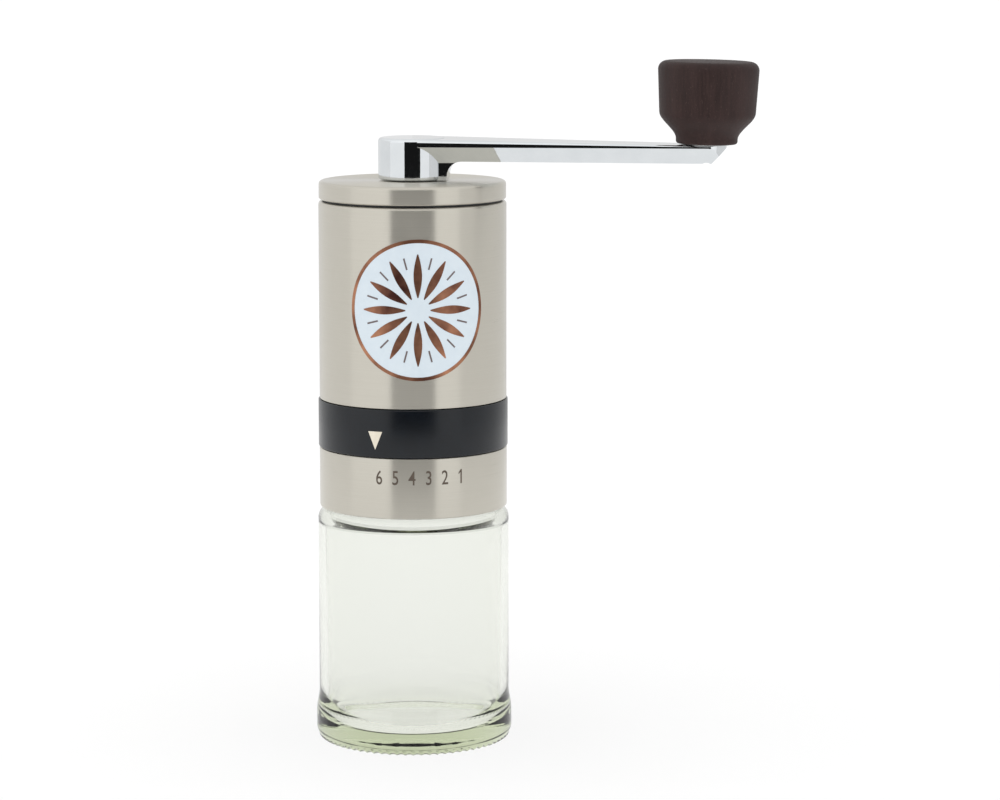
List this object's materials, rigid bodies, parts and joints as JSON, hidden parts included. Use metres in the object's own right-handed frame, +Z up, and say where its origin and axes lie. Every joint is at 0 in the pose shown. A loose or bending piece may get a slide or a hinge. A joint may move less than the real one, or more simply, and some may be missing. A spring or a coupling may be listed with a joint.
{
  "type": "hand crank coffee grinder",
  "caption": "Slim cylindrical hand coffee grinder: screw-on glass jar, numbered grind ring, brushed steel body, lid, and a cranked arm with a round wooden knob.",
  "frame": {"origin": "on the shaft axis at the flat foot of the glass jar", "axes": "+Z up along the shaft; +X along the crank arm at rest; -Y towards the numbers and the pointer"},
  "size_m": [0.1225, 0.0548, 0.1896],
  "materials": {
    "brushed_steel": "satin, brushed round the axis",
    "chrome": "polished",
    "steel": "plain",
    "bronze": "sintered",
    "black_plastic": "matte",
    "ceramic": "matte",
    "silicone": "matte",
    "wood": "matte, dark stained",
    "sticker": "satin film",
    "glass": "clear"
  },
  "bodies": {
    "housing": {"main_frame": "black_plastic", "jar_collar": "black_plastic", "collar_screw_1": "steel", "collar_screw_2": "steel", "collar_screw_3": "steel", "detent_ball": "steel", "detent_spring": "steel", "pointer_ring": "black_plastic", "body_shell": "brushed_steel", "emblem_sticker": "sticker", "shaft_guide": "black_plastic", "upper_bush": "bronze", "lower_bush": "bronze"},
    "adjuster": {"cam_ring": "black_plastic", "grind_ring": "brushed_steel"},
    "burr_carriage": {"outer_burr": "ceramic", "burr_carrier": "black_plastic", "burr_retainer": "black_plastic", "carrier_pin_1": "steel", "carrier_pin_2": "steel", "carrier_pin_3": "steel"},
    "drive": {"drive_shaft": "steel", "shaft_clip": "steel", "thrust_washer": "steel", "inner_burr": "ceramic", "burr_core": "black_plastic", "burr_washer": "steel", "burr_nut": "steel", "burr_spring": "steel"},
    "crank": {"crank_arm": "chrome", "knob_spindle": "steel", "knob_washer": "steel", "knob_clip": "steel"},
    "knob": {"knob": "wood"},
    "lid": {"lid_cap": "brushed_steel", "lid_insert": "black_plastic"},
    "jar_seal": {"jar_seal": "silicone"},
    "jar": {"glass_jar": "glass"}
  },
  "joints": [
    {"name": "crank_turn", "type": "hinge", "parent": "housing", "child": "drive", "pos_m": [0, 0, 0.1], "axis": [0, 0, 1], "continuous": true},
    {"name": "lid_lift", "type": "slide", "parent": "housing", "child": "lid", "axis": [0, 0, 1], "range_m": [0, 0.03]},
    {"name": "crank_lift", "type": "slide", "parent": "drive", "child": "crank", "axis": [0, 0, 1], "range_m": [0, 0.03]},
    {"name": "knob_spin", "type": "hinge", "parent": "crank", "child": "knob", "pos_m": [0.08085, 0, 0.16649], "axis": [0.0205, 0, 0.9998], "continuous": true},
    {"name": "grind_adjust", "type": "hinge", "parent": "housing", "child": "adjuster", "pos_m": [0, 0, 0.08], "axis": [0, 0, 1], "range_deg": [-53.1, 0]},
    {"name": "burr_lift", "type": "slide", "parent": "housing", "child": "burr_carriage", "axis": [0, 0, 1], "range_m": [-0.0009, 0]},
    {"name": "jar_turn", "type": "hinge", "parent": "jar_seal", "child": "jar", "pos_m": [0, 0, 0.03], "axis": [0, 0, 1], "range_deg": [-540.5, 0]},
    {"name": "jar_drop", "type": "slide", "parent": "housing", "child": "jar_seal", "axis": [0, 0, 1], "range_m": [-0.0054, 0]}
  ],
  "couplings": [
    {"joint": "crank_lift", "follows": "lid_lift", "ratio": 1},
    {"joint": "grind_adjust", "follows": "burr_lift", "rad_per_m": 1027.8},
    {"joint": "jar_turn", "follows": "jar_drop", "rad_per_m": 1745.3}
  ]
}
